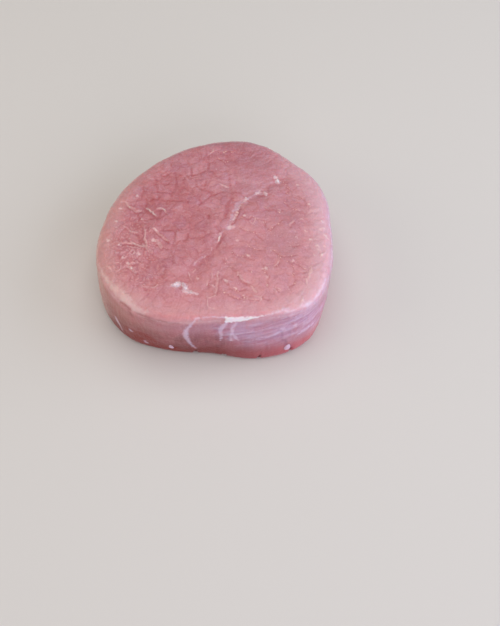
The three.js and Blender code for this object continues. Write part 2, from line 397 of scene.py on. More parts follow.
# Fat: the white edge along the front rim. Sinew: the thin milky strands that run down the wall from it.
FAT = [
    [(278.5, 26.9, 0.8), (281, 26.8, 0.9), (284, 26.8, 0.7),
     (287, 27, 0.4), (291, 27.4, 0.2), (295.5, 27.9, -0.2)],
    [(277.6, 27.9, 0.2), (284, 27.8, 0.1), (289, 27.7, 0)],
    [(277.5, 26, 0.3), (280, 25.7, 0.2)],
]
SINEW = [
    [(263, 28.2, -0.2), (270, 28.3, -0.35), (276.5, 28.1, -0.1)],
    [(263.2, 28.1, -0.2), (261.6, 25.8, -0.1), (259.2, 22.5, 0.2), (257.9, 19.3, 0.5), (258, 15.4, 0.4)],
    [(258, 15.4, 0.4), (259.2, 11, 0), (261.4, 6.2, -0.2)],
    [(277.8, 25.2, 0.1), (276, 23.4, 0.4), (274.3, 20.5, 0.3), (274.6, 17.5, 0), (274.2, 13.5, -0.3)],
    [(281.8, 24.6, 0), (280.2, 21.8, 0.1), (280, 18.9, 0), (281, 16.6, 0.1), (282.4, 14.6, -0.3)],
    [(279.6, 19, -0.1), (279, 16.2, -0.2), (279.4, 14.3, 0.1)],
    [(288.5, 14.5, -0.7), (292, 15.9, -0.5), (296, 16.2, -0.4), (301.5, 17.6, -0.7)],
    [(289, 19.4, -0.7), (295, 20.5, -0.5), (301.5, 20.1, -0.5), (309, 21.5, -0.7)],
    [(308.4, 12.5, -0.2), (313.3, 13.7, 0), (318, 12.5, -0.3)],
    [(301.5, 18.9, 0.1), (302.2, 18.7, 0.1)],
    [(306.8, 19, 0), (307.6, 19.2, 0)],
    [(222.6, 13.2, 0.2), (223.4, 10, 0.35), (224.1, 4.2, -0.1)],
    [(230.8, 11.7, 0.1), (231.1, 11.1, 0.2)],
    [(236.8, 6, 0), (237.5, 4.8, 0.1)],
    [(24, 25, -0.4), (26, 20, -0.2), (25, 13, 0), (28, 6, -0.4)],
    [(58, 23, -0.4), (64, 21, -0.2), (71, 20.5, 0), (80, 18, -0.4)],
    [(61, 24, -0.4), (70, 22.5, -0.1), (79, 21, -0.4)],
    [(97, 26, -0.3), (98, 21, 0), (96.5, 16, -0.2), (99, 11, -0.4)],
    [(166, 24, -0.3), (165, 17, 0), (168, 9, 0), (167, 4, -0.3)],
]
mark("fat", [on_wall(route) for route in FAT])
mark("sinew", [on_wall(route) for route in SINEW])

# The ledge that the knife left at the rim, with a painted highlight on it, cream on the left and silvery on
# the right, and the creases of the wall, which are painted dark as shade: the undercut below that ledge, and
# one that runs down through the silver skin.
LEDGE = [
    [(204, 26.6, -0.1), (212, 27.3, 0.4), (219, 28, 0.9),
     (224, 28.2, 1.1), (228, 28.3, 1.1), (231, 28.2, 0.8)],
    [(230, 28.3, 0.5), (233.7, 28, 0.8), (236.6, 27.7, 0.7), (241, 28.1, 0)],
    [(294, 27.6, -0.3), (299, 28.4, -0.2), (303, 28.7, 0),
     (304.6, 28.3, 0.4), (305.6, 27.9, 0), (308, 28.2, -0.4)],
    [(308, 28.3, -0.4), (311, 28.2, 0.1), (313.1, 27.9, 0.5), (315.2, 27.9, 0)],
    [(317.5, 27.8, -0.3), (320, 27.8, 0), (324, 27.8, -0.1), (328, 27.7, -0.3)],
    [(354, 26.2, -0.6), (0, 26.3, 0), (12, 26.3, 0), (22, 26.2, -0.6)],
]
WALL_CREASES = [
    [(227, 26.6, 0), (229.5, 27, 0.2), (231.5, 26.6, 0.3), (233, 25.4, 0.2), (233.5, 23.8, 0)],
    [(236.5, 27, 0), (239.4, 26.7, 0.4), (241.5, 26.4, 0.7),
     (243, 26, 0.7), (244.5, 26.1, 0.3), (246.5, 26.6, 0.1)],
    [(246.5, 26.6, 0.1), (249, 26.5, 0), (252, 26, 0), (255.5, 25.9, -0.2)],
    [(300.4, 19, -0.7), (301.6, 16, -0.4), (300.9, 13, -0.4), (302.6, 10.5, -0.2),
     (302.8, 8.5, 0), (305, 5.5, 0), (305.2, 3, 0.1)],
]
mark("rim", [on_wall([(angle, 28, 0) for angle in range(0, 361, 5)])], reach=10)
mark("ledge", [on_wall(route) for route in LEDGE])
mark("wall_crease", [on_wall(route) for route in WALL_CREASES])

# The milky skin on the front right of the wall, the bare red flesh at its foot on the left, made darker still
# with painted shade, and the small nicks in that foot, painted near black as shade.
SILVER_SKIN = [
    [(277, 20, 2), (284, 19, 4), (292, 17, 4), (300, 17, 4)],
    [(304, 20, 4), (314, 18, 4), (320, 17, 3)],
]
BARE_AND_SHADED_FOOT = [
    [(196, 1, -3), (207, 1.3, -1.4), (215, 2, 0.3), (222, 4, 3), (228, 6.2, 4.6),
     (233, 7.5, 5.8), (237, 6, 4.2), (241, 4, 2.2), (252, 2.5, 1)],
]
NICKS = [
    [(260.6, 0.3, 0.1), (260.9, 1.8, 0.1), (261.2, 2.8, -0.1)],
    [(275.2, 0.3, 0.3), (275.5, 1.6, 0.2), (275.8, 2.6, 0)],
    [(291.2, 0.3, 0.1), (291.5, 1.6, 0.1), (291.9, 2.8, -0.1)],
    [(304.9, 0.3, 0.2), (305.2, 2, 0.1), (305.6, 3.4, 0)],
]
mark("silver_skin", [on_wall(route) for route in SILVER_SKIN], reach=9)
mark("bare_and_shaded_foot", [on_wall(route) for route in BARE_AND_SHADED_FOOT], reach=6)
mark("nick", [on_wall(route) for route in NICKS])

# What tells the cut face from the skinned wall: 1 on the cut face, 0 on the wall, and both share the rim.
WALL_TOP = 26.6  # mm up
FACE_EDGE = 28.5  # mm up
share = np.clip((places[:, 2] - WALL_TOP) / (FACE_EDGE - WALL_TOP), 0, 1)
cut_face = share * share * (3 - 2 * share)
veal.data.attributes.new("cut_face", "FLOAT", "POINT").data.foreach_set("value", cut_face)
MARKS.append("cut_face")


def add(tree, kind, settings=None, links=None):
    """Adds a node, a shader node by its short name, with its settings and what goes into its inputs."""
    node = tree.nodes.new(kind if "Node" in kind else "ShaderNode" + kind)
    for name, value in (settings or {}).items():
        setattr(node, name, value)
    for name, value in (links or {}).items():
        if isinstance(value, bpy.types.Node):
            value = next(socket for socket in value.outputs if socket.enabled)
        if isinstance(value, bpy.types.NodeSocket):
            tree.links.new(value, node.inputs[name])
        else:
            node.inputs[name].default_value = value
    return node


def between(low, high, at_low=0.0, at_high=1.0):
    """The constants of a Map Range node: what it gives at a low value and at a high one."""
    return {"From Min": low, "From Max": high, "To Min": at_low, "To Max": at_high}


# Settings that many nodes share.
EASED = {"interpolation_type": "SMOOTHSTEP"}
SCALED = {"operation": "SCALE"}
TIMES = {"operation": "MULTIPLY"}
PLUS = {"operation": "ADD"}
TIMES_PLUS = {"operation": "MULTIPLY_ADD"}
MINUS = {"operation": "SUBTRACT"}
ABOUT_Z = {"rotation_type": "Z_AXIS"}
COLOURED = {"data_type": "RGBA"}

BUNDLE = 4.4  # mm across a bundle of fibres
RUN_ON = 0.12  # how much a bundle changes downwards, as a share of how much it changes sideways
GRAIN = 1.3  # mm across the grains where fibres have drawn back, and GRAIN_LENGTH along them
GRAIN_LENGTH = 1.5
GRAIN_TURN = 0.8  # radians
SILK_TURN = -0.3  # radians
WANDER = 5.0  # mm by which bundles, grains and silk stray from even rows
GIRTH = 45.0  # mm, the radius at which patterns that run round the slice are measured


def muscle(tree, place, marks):
    """The marks, and the patterns of the muscle at a place in mm, which its relief and its colours share."""
    made = {**marks, "all": 1.0}

    # The bundles and the finer grains, both seen end on.
    wander = add(tree, "TexNoise", None, {"Vector": place, "Scale": 0.2, "Detail": 1.0})
    centred = add(tree, "VectorMath", MINUS, {0: wander.outputs[1], 1: (0.5, 0.5, 0.5)})
    stray = add(tree, "VectorMath", SCALED, {0: centred, "Scale": WANDER})
    strayed = add(tree, "VectorMath", PLUS, {0: place, 1: stray})
    flat = add(tree, "VectorMath", TIMES, {0: strayed, 1: (1, 1, RUN_ON)})
    turned = add(tree, "VectorRotate", ABOUT_Z, {"Vector": flat, "Angle": GRAIN_TURN})
    drawn = add(tree, "VectorMath", TIMES, {0: turned, 1: (GRAIN / GRAIN_LENGTH, 1, 1)})
    for name, size, where, dimensions in (("bundle", BUNDLE, flat, "3D"), ("grain", GRAIN, drawn, "2D")):
        cells = {"voronoi_dimensions": dimensions}
        laid = {"Vector": where, "Scale": 1 / size}
        edge = add(tree, "TexVoronoi", {"feature": "DISTANCE_TO_EDGE", **cells}, laid)
        cell = add(tree, "TexVoronoi", {"feature": "F1", **cells}, laid)
        tint = add(tree, "SeparateXYZ", None, {0: cell.outputs["Color"]})
        made[name] = add(tree, "Math", TIMES, {0: edge, 1: size})
        made[name + "_middle"] = add(tree, "Math", TIMES, {0: cell, 1: size})
        made[name + "_tint"] = tint.outputs[0]

    # Where the place is, in mm: rightwards, backwards, up, out from the middle, and along two slanting lines.
    axes = add(tree, "SeparateXYZ", None, {0: place})
    made.update(zip(("x", "y", "height"), axes.outputs))
    outward = add(tree, "VectorMath", TIMES, {0: place, 1: (1, 1, 0)})
    made["radius"] = add(tree, "VectorMath", {"operation": "LENGTH"}, {0: outward}).outputs["Value"]
    for name, line in (("across", (0.8, -0.6, 0)), ("backward", (0.5, 0.85, 0))):
        far = add(tree, "VectorMath", {"operation": "DOT_PRODUCT"}, {0: place, 1: line})
        made[name] = far.outputs["Value"]

    # Noise that runs up the wall, nearly level along it, and in short ridges across the rim.
    unit = add(tree, "VectorMath", {"operation": "NORMALIZE"}, {0: outward})
    slope = add(tree, "Math", TIMES_PLUS, {0: made["x"], 1: -0.2, 2: made["height"]})
    for name, turn, other, along in (
        ("pleats", 1.3 * GIRTH, made["height"], 0.16),
        ("folds", 0.09 * GIRTH, slope, 0.8),
        ("ripples", 0.45 * GIRTH, made["radius"], 1.1),
    ):
        around = add(tree, "VectorMath", SCALED, {0: unit, "Scale": turn})
        rise = add(tree, "Math", TIMES, {0: other, 1: along})
        rise = add(tree, "CombineXYZ", None, {2: rise})
        where = add(tree, "VectorMath", PLUS, {0: around, 1: rise})
        made[name] = add(tree, "TexNoise", None, {"Vector": where, "Scale": 1.0, "Detail": 2.0})

    # The silk of the fibres that lie flat towards the back, and plain noise at several sizes.
    raked = add(tree, "VectorRotate", ABOUT_Z, {"Vector": strayed, "Angle": SILK_TURN})
    combed = add(tree, "VectorMath", TIMES, {0: raked, 1: (0.12, 0.9, 0.3)})
    for name, where, scale, detail in (
        ("silk", combed, 1.0, 2.0),
        ("swell", place, 0.09, 2.0),
        ("patches", place, 0.17, 2.0),
        ("fade", place, 0.4, 1.0),
        ("rough", place, 0.75, 3.0),
    ):
        made[name] = add(tree, "TexNoise", None, {"Vector": where, "Scale": scale, "Detail": detail})

    # Masks. Each row is a name, what the mask is read from, two values of that, and what the mask is at each.
    for name, value, low, high, at_low, at_high in (
        ("broken", "fade", 0.36, 0.58, 0.3, 1),
        ("uneven", "fade", 0.36, 0.5, 0.6, 1),
        ("lifted", "grain_tint", 0.2, 0.5, 0.2, 1),
        ("patchy", "patches", 0.4, 0.6, 0, 1),
        ("rim_band", "rim", 10, 5, 0, 1),
        ("inner", "radius", 33, 42, 1, 0.15),
        ("far_left", "x", -37, -46, 0, 1),
        ("beside", "y", -22, 0, 0, 1),
        ("low", "height", 12, 3, 0, 1),
        ("left_muscle", "across", 3, 14, 1, 0.6),
        ("rim_aside", "y", 38, 5, 0.1, 1),
        ("rim_behind", "y", -43, -35, 0.45, 1),
        ("far_back", "y", 37, 46, 0, 1),
        ("raised", "height", 4, 14, 0.15, 1),
        ("silky", "backward", 10, 22, 0.2, 1),
        ("coarse", "dusky", 0, 6, 0.15, 1),
        ("skinned", "silver_skin", 0, 5, 1, 0),
        ("grainy_part", "grainy", -2, 6, 1, 0),
        ("bordering", "faint_border", 0.1, 0.7, 1, 0),
    ):
        laid = {"Value": made[value], **between(low, high, at_low, at_high)}
        made[name] = add(tree, "MapRange", EASED, laid)
    for name, a, b in (
        ("net", "left_muscle", "coarse"),
        ("netted", "net", "broken"),
        ("grainy", "grainy_part", "lifted"),
        ("veiled", "skinned", "broken"),
        ("glints_by_border", "bordering", "lifted"),
        ("rim_lit", "rim_aside", "rim_behind"),
        ("side_foot", "beside", "low"),
    ):
        made[name] = add(tree, "Math", TIMES, {0: made[a], 1: made[b]})
    for name, value, low, high in (("right", "x", -36, 40), ("front", "y", 38, -38)):
        made[name] = add(tree, "MapRange", None, {"Value": made[value], **between(low, high)})
    return made


# The relief of the slice, in mm: bundles that stand up between their borders, grains on the left, the seam's
# crease and sheet, ripples beside the rim, and on the wall the pleats and folds of the drawn skin.
NICK_DEPTH = 1.2  # mm
relief = bpy.data.node_groups.new("Relief of the slice", "GeometryNodeTree")
for way in ("INPUT", "OUTPUT"):
    relief.interface.new_socket("Geometry", in_out=way, socket_type="NodeSocketGeometry")
incoming = add(relief, "NodeGroupInput")
position = add(relief, "GeometryNodeInputPosition")
place = add(relief, "VectorMath", SCALED, {0: position, "Scale": 1 / MM})
marks = {}
for name in MARKS:
    marks[name] = add(relief, "GeometryNodeInputNamedAttribute", {"data_type": "FLOAT"}, {"Name": name})
grown = muscle(relief, place, marks)

# Each row is a pattern, two of its values, the heights that they give, and the mask that scales these.
FACE_RELIEF = [
    ("bundle", 0, 1.6, -0.05, 0.05, "netted"),
    ("grain_middle", 0.1, 0.6, 0.1, -0.03, "grainy"),
    ("bundle_border", 0, 1.1, -0.08, 0, "uneven"),
    ("faint_border", 0, 1.3, -0.07, 0, "uneven"),
    ("lit_border", 0, 0.6, 0.06, 0, "broken"),
    ("thread", 0, 0.6, 0.08, 0, "all"),
    ("glint_spot", 0, 0.5, 0.07, 0, "all"),
    ("fold", 0, 0.8, 0.18, 0, "all"),
    ("dip_and_shadow_below_fold", 0, 0.7, -0.1, 0, "all"),
    ("crease", 0, 1.8, -0.14, 0, "all"),
    ("sheet", 0, 1.5, 0.1, 0, "broken"),
    ("swell", 0.3, 0.7, -0.3, 0.3, "inner"),
    ("rough", 0.3, 0.7, -0.04, 0.04, "all"),
    ("torn_fat", 0, 0.6, 0.15, 0, "all"),
    ("ripples", 0.3, 0.7, -0.06, 0.06, "rim_band"),
    ("fat", 0, 0.5, 0.06, 0, "all"),
    ("ledge", 0, 1, 0.16, 0, "all"),
]
WALL_RELIEF = [
    ("pleats", 0.3, 0.7, -0.06, 0.06, "all"),
    ("folds", 0.35, 0.65, -0.2, 0.2, "skinned"),
    ("swell", 0.3, 0.7, -0.2, 0.2, "all"),
    ("fat", 0, 0.5, 0.1, 0, "all"),
    ("sinew", 0, 0.8, 0.12, 0, "all"),
    ("wall_crease", 0, 1.4, -0.1, 0, "all"),
]
totals = []
for rows in (FACE_RELIEF, WALL_RELIEF):
    total = 0.0
    for pattern, low, high, at_low, at_high, mask in rows:
        laid = {"Value": grown[pattern], **between(low, high, at_low, at_high)}
        height = add(relief, "MapRange", EASED, laid)
        total = add(relief, "Math", TIMES_PLUS, {0: height, 1: grown[mask], 2: total})
    totals.append(total)
ends = {0: grown["cut_face"], 2: totals[1], 3: totals[0]}
rise = add(relief, "Mix", {"data_type": "FLOAT"}, ends)

# None of it reaches the foot, so the underside stays flat, and it alone isn't smoothed.
standing = add(relief, "MapRange", EASED, {"Value": grown["height"], **between(0.4, 2.5, 0, MM)})
nick = add(relief, "MapRange", EASED, {"Value": grown["nick"], **between(0, 0.9, -NICK_DEPTH * MM, 0)})
above_foot = add(relief, "MapRange", EASED, {"Value": grown["height"], **between(0.1, 0.6)})
nick = add(relief, "Math", TIMES, {0: nick, 1: above_foot})
rise = add(relief, "Math", TIMES_PLUS, {0: rise, 1: standing, 2: nick})
normal = add(relief, "GeometryNodeInputNormal")
shift = add(relief, "VectorMath", SCALED, {0: normal, "Scale": rise})
moved = add(relief, "GeometryNodeSetPosition", None, {"Geometry": incoming, "Offset": shift})
add(relief, "NodeGroupOutput", None, {"Geometry": moved})
modify(veal, "NODES", node_group=relief)
for face in veal.data.polygons:
    face.use_smooth = face.center.z > 0


def linear(hex_colour):
    """An sRGB hex colour as the linear colour that a node takes."""
    parts = [int(hex_colour[i : i + 2], 16) / 255 for i in (1, 3, 5)]
    return [p / 12.92 if p <= 0.04045 else ((p + 0.055) / 1.055) ** 2.4 for p in parts] + [1]


def started(name):
    """A new material, its empty tree, and a node in it that gives the place on the piece in mm."""
    material = bpy.data.materials.new(name)
    material.use_nodes = True
    material.node_tree.nodes.clear()
    seen = add(material.node_tree, "TexCoord").outputs["Object"]
    place = add(material.node_tree, "VectorMath", SCALED, {0: seen, "Scale": 1 / MM})
    return material, material.node_tree, place


# Raw veal: young muscle with little blood pigment, so it is pale pink and lets light in, cut by a knife and
# wet with its own juice. It gives a soft body colour with red in the thin lines, under a clear wet gloss.
flesh, tree, place = started("raw_veal_muscle")
marks = {}
for name in MARKS:
    marks[name] = add(tree, "Attribute", {"attribute_name": name}).outputs["Fac"]
grown = muscle(tree, place, marks)
for name, scale, detail, roughness in (
    ("clouds", 0.26, 2.0, 0.5),
    ("specks", 1.0, 3.0, 0.5),
    ("pores", 1.5, 4.0, 0.6),
):
    laid = {"Vector": place, "Scale": scale, "Detail": detail, "Roughness": roughness}
    grown[name] = add(tree, "TexNoise", None, laid)
centred = add(tree, "Math", MINUS, {0: grown["clouds"], 1: 0.5})
grown["veins"] = add(tree, "Math", {"operation": "ABSOLUTE"}, {0: centred})

# Torn edges, some of them the ragged edges of painted highlights and glints. Each row is a name, the mark and
# the noise that it is made of, and how many mm its edge swings.
for name, edge, noisy, swing in (
    ("torn_lumps", "torn_fat", "pores", 2.4),
    ("ragged_border_highlight", "lit_border", "specks", 1.6),
    ("ragged_glint_spot", "glint_spot", "specks", 1.6),
    ("torn_sheet", "sheet", "specks", 1.6),
    ("ragged_ledge_highlight", "ledge", "specks", 1.6),
    ("torn_sinew", "sinew", "specks", 1.28),
    ("torn_strip", "fat", "specks", 0.8),
):
    swung = add(tree, "Math", TIMES_PLUS, {0: grown[noisy], 1: -swing, 2: swing / 2})
    grown[name] = add(tree, "Math", PLUS, {0: grown[edge], 1: swung})

# Colours from left to right. The rim and its ledge are cream on the left, partly their own colour and partly
# a painted highlight, and on the right they carry a silvery painted highlight from the light on that side.
# The creases are painted dark as shade.
for name, left, right in (
    ("rim_tone_and_highlight", "#D6A6A2", "#DEB2C0"),
    ("ledge_highlight", "#E6CAC6", "#E0D4E8"),
    ("crease_shade", "#8E4038", "#8A5678"),
    ("back_tone", "#B87479", "#C0848C"),
    ("front_tone", "#CA8084", "#D8999F"),
):
    ends = {0: grown["right"], 6: linear(left), 7: linear(right)}
    grown[name] = add(tree, "Mix", COLOURED, ends)
# Where the right-hand rim is lit, which the painted highlights below follow.
for name, value, low, high in (
    ("right_end", "right", 0.72, 0.95),
    ("high_up", "height", 22, 27),
    ("near_rim", "rim", 8, 1),
):
    grown[name] = add(tree, "MapRange", EASED, {"Value": grown[value], **between(low, high)})
for name, a, b in (("lit_side", "right_end", "high_up"), ("lit_rim", "lit_side", "near_rim")):
    grown[name] = add(tree, "Math", TIMES, {0: grown[a], 1: grown[b]})

# The cut face from back to front, before anything is laid over it. It is lighter to the front and the right,
# partly the flesh's own tone and partly painted light.
ends = {0: grown["front"], 6: grown["back_tone"], 7: grown["front_tone"]}
face = add(tree, "Mix", COLOURED, ends)

# The wall at its foot, half-way up and at its top, each from left to right. It grows darker and redder
# towards the
# foot and to the left: partly the flesh's own red, partly painted shade and a painted warm reflection from
# below.
wall = None
for heights, colours in (
    (None, ("#720C08", "#7C2424", "#C46A76")),
    ((4, 13), ("#904640", "#864852", "#BC8CA0")),
    ((14, 22), ("#B27069", "#B07A8A", "#C096AA")),
    ((24, 26.3), ("#D29C9E", "#CC98A0", "#CCA2B6")),
):
    tone = linear(colours[0])
    for start, end, colour in ((0, 0.45, colours[1]), (0.5, 1, colours[2])):
        step = add(tree, "MapRange", None, {"Value": grown["right"], **between(start, end)})
        tone = add(tree, "Mix", COLOURED, {0: step, 6: tone, 7: linear(colour)})
    if wall:
        level = add(tree, "MapRange", EASED, {"Value": grown["height"], **between(*heights)})
        tone = add(tree, "Mix", COLOURED, {0: level, 6: wall, 7: tone})
    wall = tone

# Each row is a pattern, two of its values, how much of the colour they give, the mask that scales that, and
# the colour, which is laid over what came before.
FACE_LAYERS = [
    ("deep", 0, 9, 0.58, 0, "all", "#B5656C"),
    ("dusky", 0, 6, 0.3, 0, "all", "#A06C7A"),
    ("swell", 0.42, 0.62, 0, 0.4, "all", "#CE8C94"),
    ("patches", 0.45, 0.62, 0, 0.3, "all", "#C08698"),
    # Pale lavender patches: partly the flesh's own cast, partly painted sheen.
    ("fade", 0.5, 0.66, 0, 0.12, "all", "#CEA0B8"),
    ("bundle_tint", 0.5, 1, 0, 0.2, "net", "#D8A2AA"),
    ("bundle_tint", 0.4, 0, 0, 0.2, "net", "#B87C92"),
    ("bundle", 0.6, 1.8, 0, 0.18, "net", "#D49AA2"),
    ("silk", 0.48, 0.64, 0, 0.26, "silky", "#D6A4B2"),
    ("silk", 0.48, 0.36, 0, 0.14, "silky", "#A8606E"),
    ("bundle", 0, 0.6, 0.38, 0, "netted", "#AC5058"),
    ("veins", 0, 0.03, 0.2, 0, "patchy", "#B0565E"),
    ("bundle_border", 0, 0.9, 0.48, 0, "uneven", "#A8464A"),
    ("faint_border", 0, 0.8, 0.48, 0, "uneven", "#B0525A"),
    # Painted highlight on the pale edge beside the fainter borders.
    ("ragged_border_highlight", -0.3, 0.5, 0.6, 0, "broken", "#E8B8AC"),
    # Painted glints: small pale dots by the fainter borders.
    ("grain_middle", 0.1, 0.35, 0.8, 0, "glints_by_border", "#F0CCBE"),
    # The grains: darker red between them, partly their own colour and partly painted shade, and paler tops
    # that carry a painted highlight.
    ("grain", 0, 0.35, 0.28, 0, "grainy", "#AE5058"),
    ("grain_middle", 0.1, 0.55, 0.36, 0, "grainy", "#E2B0AE"),
    # Painted shade in the seam's crease.
    ("crease", 0, 1.2, 0.5, 0, "all", "#AA4E58"),
    ("torn_sheet", -0.2, 0.7, 0.6, 0, "broken", "#D6B2C4"),
    # Painted shadow in front of each proud thread.
    ("dip_and_shadow_below_fold", 0, 0.6, 0.4, 0, "all", "#A84A50"),
    ("fold", 0, 0.4, 0.5, 0, "uneven", "#DEB0B0"),
    ("torn_lumps", -0.4, 0.9, 0.85, 0, "all", "#E8CCD2"),
    ("pores", 0.5, 0.66, 0, 0.16, "all", "#E4B8BA"),
    ("pores", 0.5, 0.36, 0, 0.12, "all", "#B05C6A"),
    # Small pale specks in patches: painted glints of the wet surface.
    ("specks", 0.6, 0.72, 0, 0.3, "patchy", "#E8C4C6"),
    ("far_back", 0, 1, 0, 0.28, "all", "#8C6068"),
    # Painted highlight: the rim paler where it is lit, cream on the left and silvery on the right.
    ("rim", 7, 0.5, 0, 0.55, "rim_lit", "rim_tone_and_highlight"),
    # Painted highlight on the lit right-hand rim.
    ("rim", 10, 3, 0, 0.3, "lit_side", "#E2BEC8"),
    ("pleats", 0.5, 0.64, 0, 0.12, "rim_band", "#E2AEB2"),
    # Painted glints along the ripples of the lit rim.
    ("ripples", 0.46, 0.7, 0, 0.14, "lit_rim", "#EAD2DC"),
    ("thread", 0, 0.4, 0.6, 0, "uneven", "#E4BCBA"),
    # Painted glints on the small spots.
    ("ragged_glint_spot", -0.1, 0.6, 0.7, 0, "all", "#ECCCCC"),
    # Painted highlight along the ledge.
    ("ragged_ledge_highlight", -0.3, 1.3, 0.6, 0, "uneven", "ledge_highlight"),
    ("torn_sinew", -0.1, 0.9, 0.66, 0, "all", "#E0D0E2"),
]
WALL_LAYERS = [
    ("silver_skin", -2, 5, 0.5, 0, "all", "#C8A8C8"),
    ("folds", 0.5, 0.64, 0, 0.38, "veiled", "#D4C0DC"),
    ("folds", 0.49, 0.38, 0, 0.32, "skinned", "#A0587A"),
    # Lighter peach on the far left of the wall: painted light where it faces away from the lamps.
    ("far_left", 0, 1, 0, 0.66, "uneven", "#E0A89E"),
    ("side_foot", 0, 1, 0, 0.5, "all", "#A86E76"),
    ("patches", 0.4, 0.68, 0, 0.4, "raised", "#B86A72"),
    ("pleats", 0.4, 0.65, 0, 0.1, "raised", "#CFA0A2"),
    ("pleats", 0.54, 0.38, 0, 0.22, "far_left", "#B87270"),
    # The bare red flesh at the foot, made darker with painted shade.
    ("bare_and_shaded_foot", -1, 3, 0.9, 0, "all", "#86140C"),
    ("pores", 0.5, 0.66, 0, 0.12, "raised", "#E4C0C6"),
    ("torn_sinew", -0.1, 1.1, 0.6, 0, "all", "#DCC8E0"),
    # Painted glints along the ripples of the lit rim.
    ("ripples", 0.46, 0.7, 0, 0.22, "lit_rim", "#DAC4DC"),
    # Painted shade in the creases of the wall.
    ("wall_crease", -0.2, 1.5, 0.5, 0, "uneven", "crease_shade"),
    # Painted highlight along the ledge.
    ("ragged_ledge_highlight", -0.3, 1, 0.5, 0, "uneven", "ledge_highlight"),
    # The nicks painted near black: painted shade in them.
    ("nick", 0, 0.6, 0.9, 0, "all", "#4A1C20"),
]
painted = []
for tone, rows in ((face, FACE_LAYERS), (wall, WALL_LAYERS)):
    for pattern, low, high, at_low, at_high, mask, colour in rows:
        laid = {"Value": grown[pattern], **between(low, high, at_low, at_high)}
        much = add(tree, "MapRange", EASED, laid)
        much = add(tree, "Math", TIMES, {0: much, 1: grown[mask]})
        over = grown[colour] if colour in grown else linear(colour)
        tone = add(tree, "Mix", COLOURED, {0: much, 6: tone, 7: over})
    painted.append(tone)

# The underside is a cut face too, and the strip of fat lies over all.
underside = add(tree, "MapRange", None, {"Value": grown["height"], **between(0.02, 0.12, 1, 0)})
cut = add(tree, "Math", {"operation": "MAXIMUM"}, {0: grown["cut_face"], 1: underside})
colour = add(tree, "Mix", COLOURED, {0: cut, 6: painted[1], 7: painted[0]})
fatty = add(tree, "MapRange", EASED, {"Value": grown["torn_strip"], **between(-0.1, 0.6, 0.9, 0)})
colour = add(tree, "Mix", COLOURED, {0: fatty, 6: colour, 7: linear("#F2EEF4")})

# The finest relief, in mm, too fine for the mesh. The rows are read as those of the larger relief are.
FINE_RELIEF = [
    ("pores", 0.35, 0.65, -0.015, 0.015, "all"),
    ("rough", 0.35, 0.65, -0.02, 0.02, "all"),
    ("bundle", 0, 0.7, -0.06, 0, "netted"),
    ("bundle_border", 0, 0.7, -0.08, 0, "uneven"),
    ("faint_border", 0, 0.7, -0.07, 0, "uneven"),
    ("grain_middle", 0.1, 0.6, 0.05, -0.02, "grainy"),
    ("thread", 0, 0.4, 0.1, 0, "all"),
    ("specks", 0.55, 0.75, 0, 0.08, "patchy"),
]
fine = 0.0
for pattern, low, high, at_low, at_high, mask in FINE_RELIEF:
    height = add(tree, "MapRange", EASED, {"Value": grown[pattern], **between(low, high, at_low, at_high)})
    fine = add(tree, "Math", TIMES_PLUS, {0: height, 1: grown[mask], 2: fine})
gloss = add(tree, "MapRange", None, {"Value": grown["pores"], **between(0.35, 0.65, 0.3, 0.5)})
bump = add(tree, "Bump", None, {"Strength": 0.8, "Distance": MM, "Height": fine})
body = add(tree, "BsdfPrincipled", None, {
    "Base Color": colour,
    "Roughness": gloss,
    "Normal": bump,
    "IOR": 1.38,
    "Subsurface Weight": 0.5,
    "Subsurface Radius": (1.0, 0.35, 0.25),
    "Subsurface Scale": 2.2 * MM,
    "Coat Weight": 0.4,
    "Coat Roughness": 0.14,
    "Coat IOR": 1.34,
})
add(tree, "OutputMaterial", None, {"Surface": body})
veal.data.materials.clear()
veal.data.materials.append(flesh)
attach(veal, "root")
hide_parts("veal_fillet")

# ------------------------------------------------------------------ Threads of connective tissue
# Pale threads that the knife has pulled up between the bundles of the cut face. They are collagen, still
# rooted in the muscle: each lies half sunk in it and thins out to nothing at both ends.

SUNK = 0.75  # share of its half width that a thread's middle lies below the surface
STOUT = 1.05  # how much stouter a strand is than the width that its route gives
TIP = 0.04  # share of a strand's length that each tip takes up
UNEVEN = (0.5, 1.3)  # the least and the most that its width varies by
skin = BVHTree.FromObject(veal, bpy.context.evaluated_depsgraph_get())
chance = np.random.default_rng(11)


def strand(laid):
    """A round strand along laid rows, uneven in width, half sunk and thin at both ends."""
    line = bpy.data.curves.new("strand", "CURVE")
    line.dimensions = "3D"
    line.bevel_depth = MM
    line.bevel_resolution = 1
    line.use_fill_caps = True
    spline = line.splines.new("POLY")
    spline.points.add(len(laid) - 1)
    along = np.linspace(0, 1, len(laid))
    for point, (*middle, half), share in zip(spline.points, laid, along):
        middle = Vector(middle) * MM
        outward = skin.find_nearest(middle)[1]
        point.co = (*(middle - outward * SUNK * half * MM), 1)
        swelling = math.sin(math.pi * min(max(share, TIP), 1 - TIP)) ** 0.5
        point.radius = half * swelling * chance.uniform(*UNEVEN)
    holder = bpy.data.objects.new("strand", line)
    bpy.context.collection.objects.link(holder)
    pick_only(holder)
    bpy.ops.object.convert(target="MESH")
    return bpy.context.object


def joined(pieces, name):
    """Pieces made into one, with its place in its mesh."""
    bpy.ops.object.select_all(action="DESELECT")
    for piece in pieces:
        piece.select_set(True)
    bpy.context.view_layer.objects.active = pieces[0]
    bpy.ops.object.join()
    bpy.ops.object.transform_apply(location=True, rotation=True, scale=True)
    whole = bpy.context.object
    whole.name = name
    return whole


threads = joined([strand(rows[::2] * (1, 1, 1, STOUT)) for rows in proud], "connective_threads")
pick_only(threads)
bpy.ops.object.shade_smooth()

